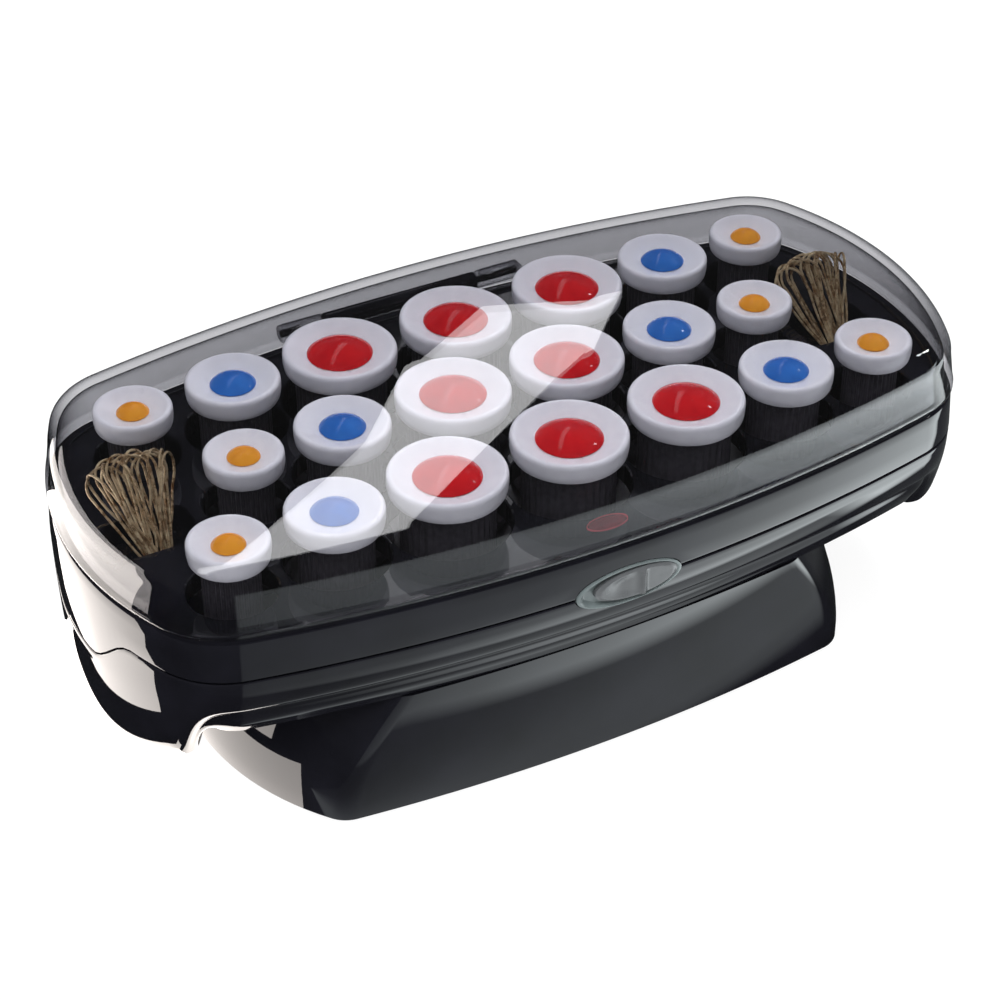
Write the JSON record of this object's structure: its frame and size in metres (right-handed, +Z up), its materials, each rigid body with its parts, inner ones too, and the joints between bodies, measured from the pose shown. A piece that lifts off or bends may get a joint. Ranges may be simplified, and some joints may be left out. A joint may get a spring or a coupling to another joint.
{
  "type": "heated hair roller set",
  "caption": "Heated hair roller set: ribbed rollers with coloured domes on heated posts, in a gloss black pedestal base under a hinged smoky clear lid.",
  "frame": {"origin": "centre of the base plate's flat underside, on the table", "axes": "+Z up, +X along the long side to the right as seen from the front, +Y to the back, where the hinge is"},
  "size_m": [0.324, 0.1741, 0.1181],
  "materials": {
    "gloss_black_plastic": "high gloss, moulded",
    "smoked_clear_plastic": "transparent with a light smoke tint, polished",
    "white_roller_plastic": "satin",
    "red_heat_dot": "high gloss",
    "blue_heat_dot": "high gloss",
    "orange_heat_dot": "high gloss",
    "cast_aluminium": "as cast",
    "bright_steel": "bright",
    "gold_hair_pin_wire": "bright wire, gold toned",
    "grey_switch_plastic": "semi-gloss",
    "pale_bezel_plastic": "satin",
    "red_indicator_lens": "translucent, glossy",
    "mica_heater_strip": "layered mica sheet",
    "white_ceramic": "unglazed",
    "black_rubber": "matte",
    "matte_black_plastic": "fine matte texture"
  },
  "bodies": {
    "base": {"upper_housing": "gloss_black_plastic", "lower_housing": "gloss_black_plastic", "pedestal": "gloss_black_plastic", "base_plate": "matte_black_plastic", "heating_plate": "cast_aluminium", "heating_element": "mica_heater_strip", "thermostat": "bright_steel", "thermal_fuse": "white_ceramic", "terminal_block": "white_ceramic", "power_switch_bezel": "pale_bezel_plastic", "power_switch_body": "matte_black_plastic", "indicator_lens": "red_indicator_lens", "indicator_lamp": "white_ceramic", "hinge_pin_left": "bright_steel", "hinge_pin_right": "bright_steel", "hair_pins_left": "gold_hair_pin_wire", "hair_pins_right": "gold_hair_pin_wire", "cord_gland": "black_rubber"},
    "lid": {"lid": "smoked_clear_plastic"},
    "power_switch": {"power_switch_slider": "grey_switch_plastic"},
    "roller_front_1": {"roller_front_1": "white_roller_plastic", "heat_dot_front_1": "orange_heat_dot"},
    "roller_front_2": {"roller_front_2": "white_roller_plastic", "heat_dot_front_2": "blue_heat_dot"},
    "roller_front_3": {"roller_front_3": "white_roller_plastic", "heat_dot_front_3": "red_heat_dot"},
    "roller_front_4": {"roller_front_4": "white_roller_plastic", "heat_dot_front_4": "red_heat_dot"},
    "roller_front_5": {"roller_front_5": "white_roller_plastic", "heat_dot_front_5": "red_heat_dot"},
    "roller_front_6": {"roller_front_6": "white_roller_plastic", "heat_dot_front_6": "blue_heat_dot"},
    "roller_front_7": {"roller_front_7": "white_roller_plastic", "heat_dot_front_7": "orange_heat_dot"},
    "roller_middle_1": {"roller_middle_1": "white_roller_plastic", "heat_dot_middle_1": "orange_heat_dot"},
    "roller_middle_2": {"roller_middle_2": "white_roller_plastic", "heat_dot_middle_2": "blue_heat_dot"},
    "roller_middle_3": {"roller_middle_3": "white_roller_plastic", "heat_dot_middle_3": "red_heat_dot"},
    "roller_middle_4": {"roller_middle_4": "white_roller_plastic", "heat_dot_middle_4": "red_heat_dot"},
    "roller_middle_5": {"roller_middle_5": "white_roller_plastic", "heat_dot_middle_5": "blue_heat_dot"},
    "roller_middle_6": {"roller_middle_6": "white_roller_plastic", "heat_dot_middle_6": "orange_heat_dot"},
    "roller_back_1": {"roller_back_1": "white_roller_plastic", "heat_dot_back_1": "orange_heat_dot"},
    "roller_back_2": {"roller_back_2": "white_roller_plastic", "heat_dot_back_2": "blue_heat_dot"},
    "roller_back_3": {"roller_back_3": "white_roller_plastic", "heat_dot_back_3": "red_heat_dot"},
    "roller_back_4": {"roller_back_4": "white_roller_plastic", "heat_dot_back_4": "red_heat_dot"},
    "roller_back_5": {"roller_back_5": "white_roller_plastic", "heat_dot_back_5": "red_heat_dot"},
    "roller_back_6": {"roller_back_6": "white_roller_plastic", "heat_dot_back_6": "blue_heat_dot"},
    "roller_back_7": {"roller_back_7": "white_roller_plastic", "heat_dot_back_7": "orange_heat_dot"}
  },
  "joints": [
    {"name": "lid_hinge", "type": "hinge", "parent": "base", "child": "lid", "pos_m": [0, 0.0862, 0.0926], "axis": [-1, 0, 0], "range_deg": [0, 105]},
    {"name": "power_switch_slide", "type": "slide", "parent": "base", "child": "power_switch", "axis": [-1, 0, 0], "range_m": [0, 0.0054]},
    {"name": "roller_front_1_turn", "type": "hinge", "parent": "base", "child": "roller_front_1", "pos_m": [-0.1217, -0.041, 0.1], "axis": [0, 0, 1], "continuous": true},
    {"name": "roller_front_2_turn", "type": "hinge", "parent": "base", "child": "roller_front_2", "pos_m": [-0.0854, -0.041, 0.1], "axis": [0, 0, 1], "continuous": true},
    {"name": "roller_front_3_turn", "type": "hinge", "parent": "base", "child": "roller_front_3", "pos_m": [-0.0452, -0.041, 0.1], "axis": [0, 0, 1], "continuous": true},
    {"name": "roller_front_4_turn", "type": "hinge", "parent": "base", "child": "roller_front_4", "pos_m": [0, -0.041, 0.1], "axis": [0, 0, 1], "continuous": true},
    {"name": "roller_front_5_turn", "type": "hinge", "parent": "base", "child": "roller_front_5", "pos_m": [0.0452, -0.041, 0.1], "axis": [0, 0, 1], "continuous": true},
    {"name": "roller_front_6_turn", "type": "hinge", "parent": "base", "child": "roller_front_6", "pos_m": [0.0854, -0.041, 0.1], "axis": [0, 0, 1], "continuous": true},
    {"name": "roller_front_7_turn", "type": "hinge", "parent": "base", "child": "roller_front_7", "pos_m": [0.1217, -0.041, 0.1], "axis": [0, 0, 1], "continuous": true},
    {"name": "roller_middle_1_turn", "type": "hinge", "parent": "base", "child": "roller_middle_1", "pos_m": [-0.099, 0, 0.1], "axis": [0, 0, 1], "continuous": true},
    {"name": "roller_middle_2_turn", "type": "hinge", "parent": "base", "child": "roller_middle_2", "pos_m": [-0.0634, 0, 0.1], "axis": [0, 0, 1], "continuous": true},
    {"name": "roller_middle_3_turn", "type": "hinge", "parent": "base", "child": "roller_middle_3", "pos_m": [-0.0221, 0, 0.1], "axis": [0, 0, 1], "continuous": true},
    {"name": "roller_middle_4_turn", "type": "hinge", "parent": "base", "child": "roller_middle_4", "pos_m": [0.0221, 0, 0.1], "axis": [0, 0, 1], "continuous": true},
    {"name": "roller_middle_5_turn", "type": "hinge", "parent": "base", "child": "roller_middle_5", "pos_m": [0.0634, 0, 0.1], "axis": [0, 0, 1], "continuous": true},
    {"name": "roller_middle_6_turn", "type": "hinge", "parent": "base", "child": "roller_middle_6", "pos_m": [0.099, 0, 0.1], "axis": [0, 0, 1], "continuous": true},
    {"name": "roller_back_1_turn", "type": "hinge", "parent": "base", "child": "roller_back_1", "pos_m": [-0.1217, 0.041, 0.1], "axis": [0, 0, 1], "continuous": true},
    {"name": "roller_back_2_turn", "type": "hinge", "parent": "base", "child": "roller_back_2", "pos_m": [-0.0854, 0.041, 0.1], "axis": [0, 0, 1], "continuous": true},
    {"name": "roller_back_3_turn", "type": "hinge", "parent": "base", "child": "roller_back_3", "pos_m": [-0.0452, 0.041, 0.1], "axis": [0, 0, 1], "continuous": true},
    {"name": "roller_back_4_turn", "type": "hinge", "parent": "base", "child": "roller_back_4", "pos_m": [0, 0.041, 0.1], "axis": [0, 0, 1], "continuous": true},
    {"name": "roller_back_5_turn", "type": "hinge", "parent": "base", "child": "roller_back_5", "pos_m": [0.0452, 0.041, 0.1], "axis": [0, 0, 1], "continuous": true},
    {"name": "roller_back_6_turn", "type": "hinge", "parent": "base", "child": "roller_back_6", "pos_m": [0.0854, 0.041, 0.1], "axis": [0, 0, 1], "continuous": true},
    {"name": "roller_back_7_turn", "type": "hinge", "parent": "base", "child": "roller_back_7", "pos_m": [0.1217, 0.041, 0.1], "axis": [0, 0, 1], "continuous": true}
  ]
}
